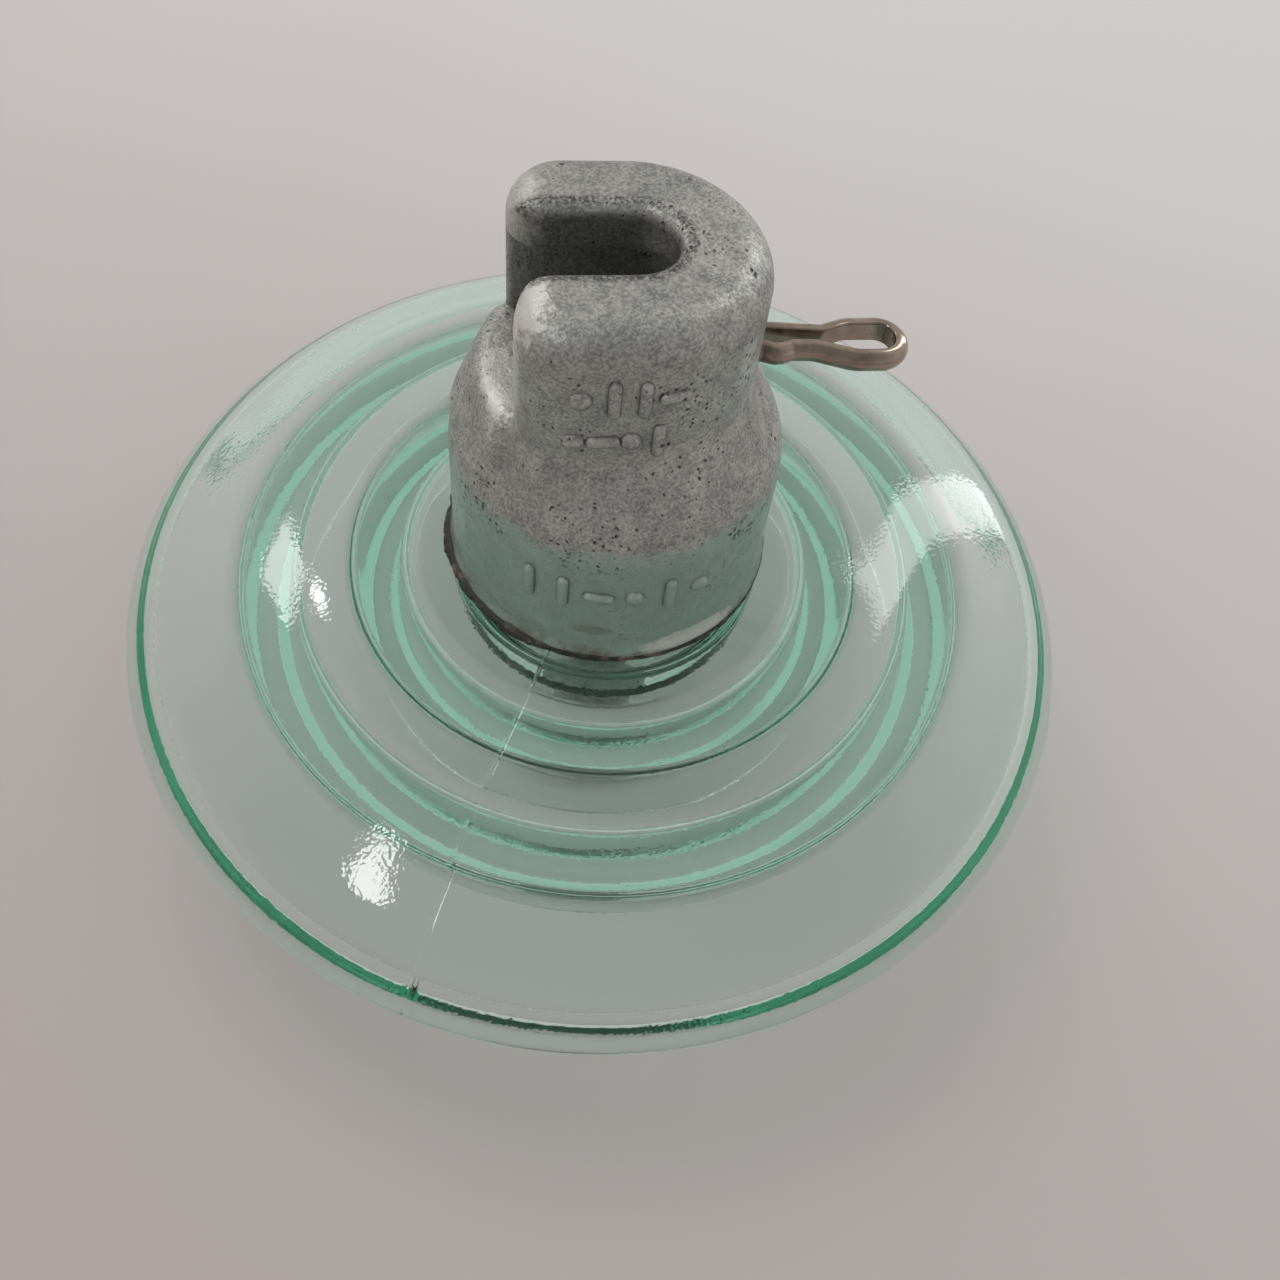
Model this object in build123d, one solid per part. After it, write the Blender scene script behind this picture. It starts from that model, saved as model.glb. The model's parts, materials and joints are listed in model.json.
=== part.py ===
from build123d import *
import os

# Cap-and-pin suspension insulator with a toughened glass shell, in millimetres.
# The insulator stands on its own axis, which is Z. The origin is the lowest point of the
# pin's ball, and the mouth of the cap's socket faces -X. Units hang in a string: the ball
# of the unit above sits in this cap's socket, and the split pin keeps it there.

# ---- Ball and socket coupling, size 16 ----
spacing = 146.0           # from this ball's seat to the seat in this socket
shank_d = 17.0
ball_d = 33.3
ball_height = 13.4
ball_crown_r = 50.0       # the ball's domed underside
ball_slope = 3.6          # height of the seat that slopes down from the shank
ball_edge = 2.5
ball_neck_round = 3.0
socket_width = 34.5
socket_height = 22.0
slot_width = 19.2         # the way through the lip for the shank
lip_thick = 11.0

# ---- Cap, cast iron, hot-dip galvanised ----
cap_r = 40.8
shoulder_rise = 39.8      # from the cap's rim to where the skirt turns in
shoulder_round = 25.0
waist_rise = 59.6         # from the cap's rim to where the head goes straight up
waist_round = 20.0
head_r = 29.4
mouth_x = 25.2            # from the axis to the front of the head
finger_round = 12.0       # outer corners of the head's front, seen from above
lip_flare = 8.4           # inner corners of the lip, where the slot opens
lip_edge = 2.2            # easing of the slot's top edge
head_top_round = 8.0
head_flare = 4.5          # how far the head's foot spreads on its way down to the shoulder
rim_flare = 1.0           # how far the rim stands out past the skirt
rim_flare_height = 3.4
rim_flare_land = 0.9
rim_flare_round = 5.0
chin_reach = 7.4          # how far the sill below the socket stands out past the head's front
chin_foot_in = 0.6        # from the skirt to the sill's foot
chin_drop = 17.0
chin_round = 4.0
chin_corner_round = 7.0
chin_overlap = 2.5        # how far the sill runs past the socket's sides, each side,
chin_spread = 2.5         # and how much wider it is at its foot
web_thick = 12.2          # iron between the socket's floor and the chamber
cap_wall = 5.6            # iron between the cap's rim and the chamber
chamber_key = 1.2         # ledge at the chamber's mouth that holds the cement in
chamber_key_height = 3.2
chamber_top_in = 9.2
chamber_shoulder = 14.0
chamber_round = 4.0

# ---- Locking hole through the cap's back wall ----
hole_width = 14.0
hole_height = 6.0
hole_lift = 3.0           # from the socket's floor to the middle of the hole

# ---- Split pin, D-shaped wire; gaps are from the middle plane to a leg's flat side ----
wire_d = 5.4
wire_flat = 0.7           # from the wire's centre to its flat side
wire_edge = 0.5
tip_x = 11.0
tip_gap = 6.0
near_splay_x = 18.5
far_splay_x = 15.2
near_gap = 0.5
far_gap = 3.1
hump_x = 33.8             # kink that snaps past the locking hole's edge
hump_gap = 1.7
hump_half = 3.0
near_waist_x = 42.3
far_waist_x = 44.9
far_waist_gap = 1.8
near_eye_x = 51.5
far_eye_x = 50.6
eye_half = 3.85
eye_end_x = 60.9
leg_bend = 4.0
hump_bend = 2.5
eye_bend = 9.0

# ---- Glass shell ----
shell_d = 255.0
head_height = 47.4        # from the neck to the top of the glass head
crown_fall = 1.2
crown_round = 15.0
head_cement = 4.4         # room for cement round the widest part of the glass head,
head_wide_fall = 20.0     # which is this far below its top
head_waist_in = 1.6
head_waist_rise = 13.0
head_bend = 8.0
neck_spread = 4.4         # how much wider the neck is than the waist above it, each side
neck_round = 5.0
shoulder_in = 43.5        # the shed is nearly flat out to this far from its edge,
shoulder_fall = 2.9
shoulder_bend = 90.0
slope_in = 13.0           # slopes out to this far from it,
slope_fall = 13.2
slope_bend = 35.0
brim_in = 2.2             # and turns down to its rim
brim_fall = 22.8
brim_bend = 13.0
rim_fall = 36.2
rim_side = 9.0            # from the rim's foot to where its side goes straight down
rim_side_bend = 8.0
rim_thick = 8.0
rim_draft = 3.0
rim_outer_round = 5.5
rim_inner_round = 2.0
rim_root = 7.0
shed_thick = 9.2
outer_rib_r = 92.9
outer_rib_fall = 46.0
inner_rib_r = 65.4
inner_rib_fall = 46.0
rib_thick = 7.0
rib_draft = 2.5
rib_round = 3.2
rib_root = 4.5
collar_r = 36.0           # collar round the pin's hole, under the shed
collar_fall = 24.0
collar_root_fall = 14.4
collar_round = 4.5
hole_mouth_r = 20.2
hole_r = 22.4             # wider above its mouth, to key the cement
hole_key = 5.0
hole_top_r = 13.0
hole_shoulder = 12.0
hole_bend = 4.0
head_roof = 14.6          # glass above the hole

# ---- Pin, forged steel, hot-dip galvanised ----
pin_head_r = 13.8
pin_head_land = 4.5
pin_head_round = 1.5
pin_cone = 12.0
pin_cone_round = 6.0
pin_top_r = 10.5
pin_top_slope = 3.0

# ---- Coats, cushions, cement faces and sealing ----
coat = 0.5                # bituminous coat on the metal inside the cement
head_cushion_r = 20.0
head_cushion_thick = 1.6
pin_cushion_r = 9.5
pin_cushion_thick = 1.8
pin_cement_lift = 4.0     # from the collar's lower face to the pin's cement
cap_cement_lift = 1.4     # from the cap's rim to its cement
seal_gap = 1.1            # between the cap's rim and the glass
seal_proud = 1.3          # how far the bead stands out past the rim

# ---- Levels that follow from the sizes, from the top down ----
seat_z = ball_height + spacing
cap_top_z = seat_z + lip_thick
socket_floor_z = seat_z - socket_height
hole_z = socket_floor_z + hole_lift
chamber_top_z = socket_floor_z - web_thick
glass_top_z = chamber_top_z - coat - head_cushion_thick
hole_top_z = glass_top_z - head_roof
pin_top_z = hole_top_z - pin_cushion_thick - coat
neck_z = glass_top_z - head_height
cap_rim_z = neck_z + seal_gap
cap_cement_z = cap_rim_z + cap_cement_lift
shoulder_z = cap_rim_z + shoulder_rise
waist_z = cap_rim_z + waist_rise
collar_z = neck_z - collar_fall
pin_cement_z = collar_z + pin_cement_lift
rim_z = neck_z - rim_fall

shank_r = shank_d / 2
ball_r = ball_d / 2
skirt_r = cap_r - rim_flare
chin_r = mouth_x + chin_reach
chin_foot_r = skirt_r - chin_foot_in
chamber_r = cap_r - cap_wall
chamber_top_r = chamber_r - chamber_top_in
head_glass_r = chamber_r - head_cement
head_waist_r = head_glass_r - head_waist_in
neck_r = head_waist_r + neck_spread
wire_r = wire_d / 2
shell_r = shell_d / 2
shoulder_r = shell_r - shoulder_in
slope_r = shell_r - slope_in
brim_r = shell_r - brim_in
beyond = shell_r          # cutters run this far past what they cut
overrun = 1.0             # and blanks this far into what trims them


# ================================================================ shapes
def profile(*corners):
    """Half section in the XZ plane; each corner is (radius, height, rounding)."""
    points = [(radius, height) for radius, height, _ in corners]
    roundings = [rounding for *_, rounding in corners]
    outline = FilletPolyline(*points, radius=roundings, close=True)
    return make_face(Plane.XZ * outline)


def turned(*corners):
    """Solid of revolution about Z, from the corners of its half section."""
    return revolve(profile(*corners), Axis.Z)


def slab(low, high):
    """Everything between two levels."""
    return Pos(0, 0, (low + high) / 2) * Box(2 * beyond, 2 * beyond, high - low)


def disc(radius, low, high):
    """Round plate on the axis between two levels."""
    return Pos(0, 0, (low + high) / 2) * Cylinder(radius, high - low)


def raised(plan, low, high):
    """Plan sketch raised from one level to another."""
    return extrude(Pos(0, 0, low) * plan, high - low)


def u_plan(half_width, front):
    """Plan with a round back about the axis and straight sides that end at X = -front."""
    sides = Pos(-front / 2, 0) * Rectangle(front, 2 * half_width)
    front_half = Pos(-half_width, 0) * Rectangle(2 * half_width, 2 * half_width)
    return Circle(half_width) - front_half + sides


# ================================================================ cap
def skirt():
    """Skirt, shoulder and waist, solid up to the seat inside the head."""
    return turned(
        (0, cap_rim_z, 0),
        (cap_r, cap_rim_z, 0),
        (cap_r, cap_rim_z + rim_flare_land, 0),
        (skirt_r, cap_rim_z + rim_flare_height, rim_flare_round),
        (skirt_r, shoulder_z, shoulder_round),
        (head_r, waist_z, waist_round),
        (head_r, seat_z, 0),
        (0, seat_z, 0),
    )


def head_block():
    """Head before it is hollowed: round back, blunt front, rounded top edge and a flared foot."""
    plan = u_plan(head_r, mouth_x)
    plan = fillet(plan.vertices().group_by(Axis.X)[0], finger_round)
    block = raised(plan, socket_floor_z, cap_top_z)
    block = fillet(block.faces().sort_by(Axis.Z)[-1].edges(), head_top_round)
    foot = Pos(0, 0, shoulder_z) * offset(plan, head_flare)
    return block + loft([foot, Pos(0, 0, socket_floor_z) * plan], ruled=True)


def chin():
    """Tongue-shaped sill that stands out below the socket's mouth and runs down into the shoulder."""
    foot_z = socket_floor_z - chin_drop
    cone = turned(
        (0, foot_z, 0),
        (chin_foot_r, foot_z, 0),
        (chin_r, socket_floor_z, 0),
        (0, socket_floor_z, 0),
    )
    half_top = socket_width / 2 + chin_overlap
    half_foot = half_top + chin_spread
    bib = Plane.YZ * Polygon(
        (-half_foot, foot_z),
        (half_foot, foot_z),
        (half_top, socket_floor_z),
        (-half_top, socket_floor_z),
        align=None,
    )
    sill = cone & extrude(bib, -beyond)
    cone_edges = sill.faces().sort_by(Axis.X)[0].edges().sort_by(Axis.Y)
    sill = fillet([cone_edges[0], cone_edges[-1]], chin_corner_round)
    top_edges = sill.faces().sort_by(Axis.Z)[-1].edges()
    return fillet(top_edges.filter_by_position(Axis.X, -beyond, -half_top), chin_round)


def front_above_chin():
    """Space in front of the head, from the socket's floor up."""
    return Pos(-mouth_x - beyond, 0, socket_floor_z + beyond) * Box(*[2 * beyond] * 3)


def socket():
    """Room for the next unit's ball, open to the front."""
    return raised(u_plan(socket_width / 2, beyond), socket_floor_z, seat_z)


def lip_way():
    """Slot through the lip for the next unit's shank, flared at the mouth and eased on top."""
    open_front = Pos(-mouth_x - beyond / 2, 0) * Rectangle(beyond, 2 * socket_width)
    plan = u_plan(slot_width / 2, beyond) + open_front
    inner = [v for v in plan.vertices() if abs(v.Y) < socket_width / 2 and v.X > -beyond]
    blank = slab(seat_z, cap_top_z)
    lip = blank - raised(fillet(inner, lip_flare), seat_z, cap_top_z)
    slot_edges = (
        lip.faces()
        .sort_by(Axis.Z)[-1]
        .edges()
        .filter_by_position(Axis.X, -mouth_x, slot_width)
        .filter_by_position(Axis.Y, -socket_width / 2, socket_width / 2)
    )
    return blank - fillet(slot_edges, lip_edge)


def locking_hole():
    """Racetrack hole through the back wall, for the split pin."""
    plan = Plane.YZ * Pos(0, hole_z) * SlotOverall(hole_width, hole_height)
    return extrude(plan, beyond)


def chamber(inset=0.0):
    """Room inside the cap for the glass head and its cement, less a coat on its wall."""
    wall_r = chamber_r - inset
    mouth_r = wall_r - chamber_key
    key_top = cap_rim_z + chamber_key_height
    return turned(
        (0, cap_rim_z - overrun, 0),
        (mouth_r, cap_rim_z - overrun, 0),
        (mouth_r, key_top, 0),
        (wall_r, key_top + chamber_key, 0),
        (wall_r, chamber_top_z - chamber_shoulder, chamber_round),
        (chamber_top_r - inset, chamber_top_z - inset, chamber_round),
        (0, chamber_top_z - inset, 0),
    )


def make_cap():
    body = skirt() - front_above_chin() + head_block() + chin()
    return body - socket() - lip_way() - locking_hole() - chamber()


# ================================================================ glass shell
def shed_top(radius):
    """Height of the shed's upper surface, before its corners are rounded."""
    corners = [
        (neck_r, neck_z),
        (shoulder_r, neck_z - shoulder_fall),
        (slope_r, neck_z - slope_fall),
        (brim_r, neck_z - brim_fall),
    ]
    for (r0, z0), (r1, z1) in zip(corners, corners[1:]):
        if radius <= r1:
            break
    return z0 + (z1 - z0) * (radius - r0) / (r1 - r0)


def rib(outer_r, fall):
    """Corners of one drip rib under the shed, from its outer root to its inner root."""
    tip_z = neck_z - fall
    tip_r = outer_r - rib_draft
    inner_tip_r = tip_r - rib_thick
    inner_r = inner_tip_r - rib_draft
    return [
        (outer_r, shed_top(outer_r) - shed_thick, rib_root),
        (tip_r, tip_z, rib_round),
        (inner_tip_r, tip_z, rib_round),
        (inner_r, shed_top(inner_r) - shed_thick, rib_root),
    ]


def pin_hole():
    """Blind hole in the glass for the pin and its cement."""
    return turned(
        (0, collar_z - overrun, 0),
        (hole_mouth_r, collar_z - overrun, 0),
        (hole_mouth_r, collar_z + hole_key, hole_bend),
        (hole_r, collar_z + 2 * hole_key, hole_bend),
        (hole_r, hole_top_z - hole_shoulder, hole_bend),
        (hole_top_r, hole_top_z, hole_bend),
        (0, hole_top_z, 0),
    )


def glass_form():
    """Outer form of the glass, before the pin's hole."""
    rim_inner_r = shell_r - rim_thick
    return turned(
        (0, glass_top_z, 0),
        (head_glass_r, glass_top_z - crown_fall, crown_round),
        (head_glass_r, glass_top_z - head_wide_fall, head_bend),
        (head_waist_r, neck_z + head_waist_rise, head_bend),
        (neck_r, neck_z, neck_round),
        (shoulder_r, shed_top(shoulder_r), shoulder_bend),
        (slope_r, shed_top(slope_r), slope_bend),
        (brim_r, shed_top(brim_r), brim_bend),
        (shell_r, rim_z + rim_side, rim_side_bend),
        (shell_r, rim_z, rim_outer_round),
        (rim_inner_r, rim_z, rim_inner_round),
        (rim_inner_r - rim_draft, shed_top(rim_inner_r) - shed_thick, rim_root),
        *rib(outer_rib_r, outer_rib_fall),
        *rib(inner_rib_r, inner_rib_fall),
        (collar_r + rib_draft, neck_z - collar_root_fall, rib_root),
        (collar_r, collar_z, collar_round),
        (0, collar_z, 0),
    )


# ================================================================ pin
def pin_stem(low, grow=0.0):
    """Shank and head of the pin above one level, grown by a coat's thickness."""
    land_top = pin_top_z - pin_top_slope
    land_foot = land_top - pin_head_land
    return turned(
        (0, low, 0),
        (shank_r + grow, low, 0),
        (shank_r + grow, land_foot - pin_cone, pin_cone_round),
        (pin_head_r + grow, land_foot, pin_head_round),
        (pin_head_r + grow, land_top, pin_head_round),
        (pin_top_r + grow, pin_top_z + grow, pin_head_round),
        (0, pin_top_z + grow, 0),
    )


def make_ball():
    """Ball with its short neck, domed below."""
    neck_top = 2 * ball_height
    section = profile(
        (0, -overrun, 0),
        (ball_r, -overrun, 0),
        (ball_r, ball_height - ball_slope, ball_edge),
        (shank_r, ball_height, ball_neck_round),
        (shank_r, neck_top, 0),
        (0, neck_top, 0),
    )
    section &= Plane.XZ * Pos(0, ball_crown_r) * Circle(ball_crown_r)
    crown_corner = section.vertices().group_by(Axis.X)[-1].sort_by(Axis.Z)[0]
    return revolve(fillet(crown_corner, ball_edge), Axis.Z)


def make_pin():
    return make_ball() + pin_stem(2 * ball_height)


# ================================================================ between metal and glass
def make_cap_lining():
    return (chamber() - chamber(coat)) & slab(cap_cement_z, cap_top_z)


def make_head_cushion():
    return disc(head_cushion_r, glass_top_z - crown_fall, chamber_top_z - coat) - glass_body


def make_cap_cement():
    return (chamber(coat) & slab(cap_cement_z, cap_top_z)) - glass_body - head_cushion


def make_pin_lining():
    return pin_stem(pin_cement_z, coat) - pin_stem(pin_cement_z - overrun)


def make_pin_cushion():
    return disc(pin_cushion_r, pin_top_z + coat, hole_top_z)


def make_pin_cement():
    room = pin_hole() & slab(pin_cement_z, cap_top_z)
    return room - pin_stem(pin_cement_z - overrun, coat) - pin_cushion


def make_cap_edge_seal():
    """Bead that closes the joint between the cap's rim, its cement and the glass."""
    outer_r = cap_r + seal_proud
    foot_z = shed_top(outer_r) - overrun
    ring = turned(
        (head_waist_r, foot_z, 0),
        (outer_r, foot_z, 0),
        (outer_r, cap_cement_z, seal_proud),
        (head_waist_r, cap_cement_z, 0),
    )
    return ring - glass_body - cap


# ================================================================ split pin
def make_split_pin():
    """Wire bent into two sprung legs and an eye, flat sides inwards."""
    eye_centre_x = eye_end_x - eye_half
    near_leg = FilletPolyline(
        (tip_x, -tip_gap),
        (near_splay_x, -near_gap),
        (hump_x - hump_half, -near_gap),
        (hump_x, -hump_gap),
        (hump_x + hump_half, -near_gap),
        (near_waist_x, -near_gap),
        (near_eye_x, -eye_half),
        (eye_centre_x, -eye_half),
        radius=[leg_bend, leg_bend, hump_bend, leg_bend, eye_bend, eye_bend],
    )
    eye = ThreePointArc((eye_centre_x, -eye_half), (eye_end_x, 0), (eye_centre_x, eye_half))
    far_leg = FilletPolyline(
        (eye_centre_x, eye_half),
        (far_eye_x, eye_half),
        (far_waist_x, far_waist_gap),
        (hump_x - hump_half, far_gap),
        (far_splay_x, far_gap),
        (tip_x, tip_gap),
        radius=[leg_bend, leg_bend, leg_bend, leg_bend],
    )
    path = Wire([*near_leg.edges(), *eye.edges(), *far_leg.edges()])
    along = path % 0
    across = Vector(along.Y, -along.X, 0)
    wire = Pos(wire_flat, 0) * Circle(wire_r) & Pos(wire_d, 0) * Rectangle(2 * wire_d, 2 * wire_d)
    flat_ends = wire.vertices().sort_by(Axis.X)[:2]
    section = Plane(origin=path @ 0, x_dir=across, z_dir=along) * fillet(flat_ends, wire_edge)
    return Pos(0, 0, hole_z) * sweep(section, path=path)


# ================================================================ assembly
cap = make_cap()
glass_body = glass_form()
pin = make_pin()
head_cushion = make_head_cushion()
pin_cushion = make_pin_cushion()

nodes = {
    "cap": cap,
    "cap_lining": make_cap_lining(),
    "cap_cement": make_cap_cement(),
    "cap_edge_seal": make_cap_edge_seal(),
    "head_cushion": head_cushion,
    "glass_shell": glass_body - pin_hole(),
    "pin_cushion": pin_cushion,
    "pin_cement": make_pin_cement(),
    "pin_lining": make_pin_lining(),
    "pin": pin,
    "split_pin": make_split_pin(),
}

os.makedirs("parts", exist_ok=True)
for name, solid in nodes.items():
    export_step(solid, f"parts/{name}.step")
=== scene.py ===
"""Finishes and setting for a cap-and-pin glass suspension insulator.

Laid out as a Blender add-on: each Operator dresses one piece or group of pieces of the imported
frame, and the last one sets the floor, the lamps and the camera. Lengths are in metres.
"""

import json
import math

import bmesh
import bpy
import numpy as np
from bpy.props import FloatProperty, FloatVectorProperty, IntProperty, PointerProperty
from mathutils import Matrix, Quaternion, Vector, noise
from mathutils.bvhtree import BVHTree

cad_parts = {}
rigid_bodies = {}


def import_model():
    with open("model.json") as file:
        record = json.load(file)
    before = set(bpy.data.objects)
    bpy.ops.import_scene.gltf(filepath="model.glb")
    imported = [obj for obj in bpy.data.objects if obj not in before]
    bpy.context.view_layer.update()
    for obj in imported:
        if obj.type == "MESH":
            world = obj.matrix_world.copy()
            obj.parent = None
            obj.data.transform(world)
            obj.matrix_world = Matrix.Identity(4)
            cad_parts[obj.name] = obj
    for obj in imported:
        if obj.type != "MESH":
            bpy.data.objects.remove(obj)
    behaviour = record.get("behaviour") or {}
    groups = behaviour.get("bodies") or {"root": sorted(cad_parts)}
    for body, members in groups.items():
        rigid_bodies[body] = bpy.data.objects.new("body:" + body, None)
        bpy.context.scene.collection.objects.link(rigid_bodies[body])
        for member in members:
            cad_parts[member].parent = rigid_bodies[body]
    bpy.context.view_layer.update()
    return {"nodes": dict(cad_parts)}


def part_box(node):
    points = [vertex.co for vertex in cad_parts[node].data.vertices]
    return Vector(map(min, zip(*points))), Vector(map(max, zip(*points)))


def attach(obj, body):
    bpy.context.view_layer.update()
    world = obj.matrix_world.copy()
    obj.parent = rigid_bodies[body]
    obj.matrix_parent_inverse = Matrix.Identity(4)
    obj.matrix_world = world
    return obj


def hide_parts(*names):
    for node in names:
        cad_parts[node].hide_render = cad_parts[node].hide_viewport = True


bl_info = {
    "name": "Glass disc insulator",
    "version": (1, 0, 0),
    "blender": (4, 5, 0),
    "location": "3D View > Sidebar > Insulator",
    "description": "Dresses the pieces of a cap-and-pin glass insulator and sets its stage",
    "category": "Object",
}

# A new Blender file may hold a cube, a lamp and a camera.
for start_object in list(bpy.data.objects):
    bpy.data.objects.remove(start_object)

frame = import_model()

MM = 0.001
NOUGHT = 1e-6  # a length that counts as none
BODY = "insulator"

# Levels and radii that the pieces share, read from the frame.
CAP_LOW, CAP_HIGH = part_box("cap")
CAP_RADIUS = CAP_HIGH.y
CAP_RIM = CAP_LOW.z
CAP_TOP = CAP_HIGH.z
SHELL_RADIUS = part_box("glass_shell")[1].y
SEAL_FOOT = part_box("cap_edge_seal")[0].z
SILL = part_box("split_pin")[0].z - 0.3 * MM


# ================================================================ settings
def colour(label, text, value):
    """Colour property with alpha."""
    return FloatVectorProperty(
        name=label, description=text, default=value, size=4, min=0, max=1, subtype="COLOR"
    )


def length(label, text, value):
    """Length property."""
    return FloatProperty(
        name=label, description=text, default=value, min=0, unit="LENGTH", precision=5
    )


def angle(label, text, degrees):
    """Angle property, with its default given in degrees."""
    return FloatProperty(
        name=label, description=text, default=math.radians(degrees), subtype="ANGLE"
    )


def share(label, text, value):
    """Property from 0 to 1."""
    return FloatProperty(
        name=label, description=text, default=value, min=0, max=1, subtype="FACTOR"
    )


class GlassFinish(bpy.types.PropertyGroup):
    tint: colour("Tint", "Colour that a thick piece of the glass passes", (0.333, 0.827, 0.693, 1))
    depth: FloatProperty(
        name="Depth", description="How fast the tint grows with thickness, per metre", default=15
    )
    shadow: colour(
        "Shadow", "Share of the lamps' light that the glass lets through", (0.89, 0.91, 0.90, 1)
    )
    ior: FloatProperty(
        name="Index", description="Refractive index of the glass", default=1.52, min=1, max=2
    )
    seam_azimuth: angle("Seam azimuth", "Where the mould's halves met", -115.7)
    seam_height: length("Seam height", "How far the mould seam stands proud", 0.28 * MM)
    seam_width: length("Seam width", "Width of the mould seam", 0.55 * MM)
    ripple: length("Ripple", "Depth of the waves that pressing leaves in the surface", 0.06 * MM)
    skin: length("Skin", "Depth of the fine grain that the mould leaves", 0.038 * MM)
    columns: IntProperty(
        name="Columns", description="Columns of faces round the shell", default=288, min=64
    )


class CastingFinish(bpy.types.PropertyGroup):
    dark: colour("Dark zinc", "Dull zinc of the casting", (0.165, 0.175, 0.165, 1))
    light: colour("Light zinc", "Bright zinc of the casting", (0.52, 0.52, 0.49, 1))
    # The worn colour also paints the highlight along the cap's rim.
    worn: colour("Worn zinc", "Zinc rubbed bare on edges and at the mouth", (0.72, 0.70, 0.67, 1))
    # The pit colour also paints shade into the cap's creases.
    pit_and_crease_shade: colour("Pit", "Dirt in the pits of the casting", (0.035, 0.034, 0.03, 1))
    stain: colour("Stain", "Brown smear of compound and rust near the rim", (0.16, 0.095, 0.06, 1))
    low_zinc: colour(
        "Low zinc", "Smooth, greener zinc where the dip ran together low on the skirt",
        (0.36, 0.46, 0.41, 1),
    )
    # Painted shade: how much of its tone the zinc keeps inside the socket.
    inside: colour(
        "Socket shade", "Share of its tone that the zinc keeps in the socket", (0.52, 0.53, 0.52, 1)
    )
    mark_height: length("Mark height", "How far the plain foundry marks stand out", 1.2 * MM)


class SealFinish(bpy.types.PropertyGroup):
    black: colour("Compound", "Fresh sealing compound", (0.014, 0.012, 0.010, 1))
    brown: colour("Dried compound", "Dried skin on the compound", (0.13, 0.10, 0.075, 1))
    thin: length("Thinnest", "How far the bead stands out where it is thinnest", 0.25 * MM)
    thick: length("Thickest", "How far the bead stands out where it is thickest", 2.2 * MM)
    thick_azimuth: angle("Thick side", "Side where the bead was laid on thickest", -163)


class WireFinish(bpy.types.PropertyGroup):
    steel: colour("Steel", "Bronze-tinted spring steel", (0.41, 0.33, 0.27, 1))
    polish: share("Roughness", "Roughness of the drawn wire", 0.16)


class StageSetup(bpy.types.PropertyGroup):
    floor: colour("Floor", "Plain pale floor in front", (0.445, 0.39, 0.382, 1))
    # Painted light: the floor's colour grows lighter towards the back.
    floor_back_painted_light: colour("Floor behind", "The lighter floor at the back", (0.68, 0.665, 0.655, 1))
    sky: FloatProperty(
        name="Sky level", description="Strength of the even light all round", default=0.78, min=0
    )
    sky_tone: colour("Sky tone", "Colour of the even light all round", (1.0, 0.985, 0.975, 1))
    surround: colour("Surround", "Room that the camera and the glass see", (0.62, 0.595, 0.58, 1))
    drape: colour("Drape", "Dark drape that gloss mirrors in front", (0.30, 0.295, 0.29, 1))
    distance: length("Camera distance", "From the camera to the point that it looks at", 0.35177)
    bearing: angle("Camera bearing", "Turn of the view from +Y towards +X", 12.708)
    tilt: angle("Camera tilt", "How steeply the camera looks down", 56.684)
    roll: angle("Camera roll", "Turn about the line of sight", 8.389)
    aim: FloatVectorProperty(
        name="Aim", description="Point that the camera looks at",
        default=(0.00923, -0.01698, 0.0474), subtype="TRANSLATION",
    )
    lens: FloatProperty(
        name="Lens", description="Focal length on a 36 mm sensor, in millimetres", default=36.06
    )


# ================================================================ node helpers
def put(tree, kind, inputs=None, **settings):
    """Adds a node, with its settings, and its inputs given as plain values or sockets to link."""
    node = tree.nodes.new(kind)
    for name, value in settings.items():
        setattr(node, name, value)
    for key, value in (inputs or {}).items():
        if isinstance(value, bpy.types.NodeSocket):
            tree.links.new(value, node.inputs[key])
        else:
            node.inputs[key].default_value = value
    return node


def sums(tree, operation, first, second=0.0, clamp=False):
    """Output of one Math node."""
    node = put(tree, "ShaderNodeMath", {0: first, 1: second}, operation=operation, use_clamp=clamp)
    return node.outputs[0]


def times(tree, *factors):
    """Product of two or more values."""
    product = factors[0]
    for factor in factors[1:]:
        product = sums(tree, "MULTIPLY", product, factor)
    return product


def vectors(tree, operation, first, second=(0, 0, 0)):
    """One Vector Math node."""
    return put(tree, "ShaderNodeVectorMath", {0: first, 1: second}, operation=operation)


def rise(tree, value, low, high, to_low=0.0, to_high=1.0):
    """Smooth step of a value, from 0 at low to 1 at high, or between the two levels given."""
    ends = {"From Min": low, "From Max": high, "To Min": to_low, "To Max": to_high}
    node = put(tree, "ShaderNodeMapRange", {"Value": value} | ends, interpolation_type="SMOOTHSTEP")
    return node.outputs["Result"]


def fall(tree, value, low, high):
    """Smooth step of a value, from 1 at low to 0 at high."""
    return rise(tree, value, low, high, 1.0, 0.0)


def blend(tree, factor, first, second, kind="MIX"):
    """Colour output of a Mix node."""
    inputs = {0: factor, 6: first, 7: second}
    return put(tree, "ShaderNodeMix", inputs, data_type="RGBA", blend_type=kind).outputs[2]


def speckle(tree, where, size, detail=3.0, rough=0.55):
    """Value of a Noise texture whose features are about that size, a number or a socket."""
    linked = isinstance(size, bpy.types.NodeSocket)
    scale = sums(tree, "DIVIDE", 1.0, size) if linked else 1 / size
    inputs = {"Vector": where, "Scale": scale, "Detail": detail, "Roughness": rough}
    return put(tree, "ShaderNodeTexNoise", inputs).outputs["Fac"]


def fray(tree, where, size, detail, amount):
    """Noise about nought, which makes an even border ragged."""
    even = sums(tree, "SUBTRACT", speckle(tree, where, size, detail, 0.7), 0.5)
    return times(tree, even, amount)


def bump(tree, height, distance, normal=None):
    """Normal output of a Bump node."""
    inputs = {"Height": height, "Distance": distance}
    if normal is not None:
        inputs["Normal"] = normal
    return put(tree, "ShaderNodeBump", inputs).outputs["Normal"]


def object_point(tree):
    """Place on the piece, in metres."""
    return put(tree, "ShaderNodeTexCoord").outputs["Object"]


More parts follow.
